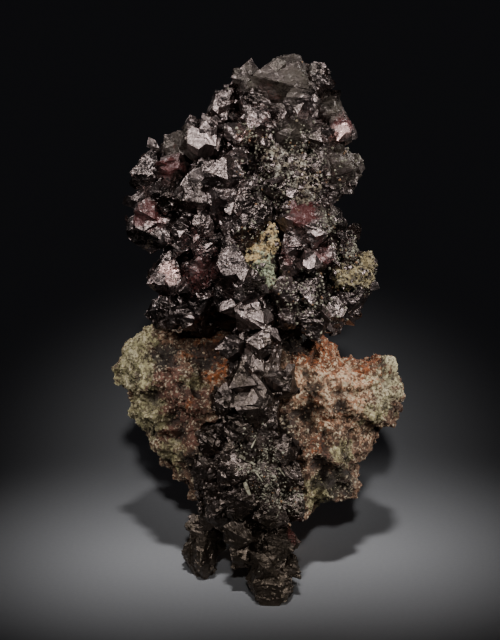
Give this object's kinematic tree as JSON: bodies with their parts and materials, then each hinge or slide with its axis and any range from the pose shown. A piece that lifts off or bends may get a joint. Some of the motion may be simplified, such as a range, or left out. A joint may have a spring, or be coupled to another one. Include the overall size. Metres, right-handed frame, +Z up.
{
  "type": "native copper specimen with tenorite",
  "caption": "Tall cluster of native copper crystals with a dark tenorite coat, grown through a wedge of pale granular host rock, standing upright on its own uneven feet.",
  "frame": {"origin": "on the ground, under the middle of the specimen's outline from above", "axes": "+Z up as the specimen stands, -Y towards the viewer of its best face, +X to that viewer's right"},
  "size_m": [0.056, 0.047, 0.1025],
  "materials": {
    "copper_crystals": "dark tenorite coat over native copper, satin with bright facets and red copper-oxide patches",
    "matrix_rock": "rough granular rock, rusty brown to pale green",
    "rock_wedge": "pale yellow-green granular",
    "knob_crust": "yellow-brown granular",
    "crown_crust": "pale grey-green granular"
  },
  "bodies": {
    "root": {"copper_crystals": "copper_crystals", "matrix_rock": "matrix_rock", "rock_wedge": "rock_wedge", "knob_crust": "knob_crust", "crown_crust": "crown_crust"}
  },
  "joints": []
}
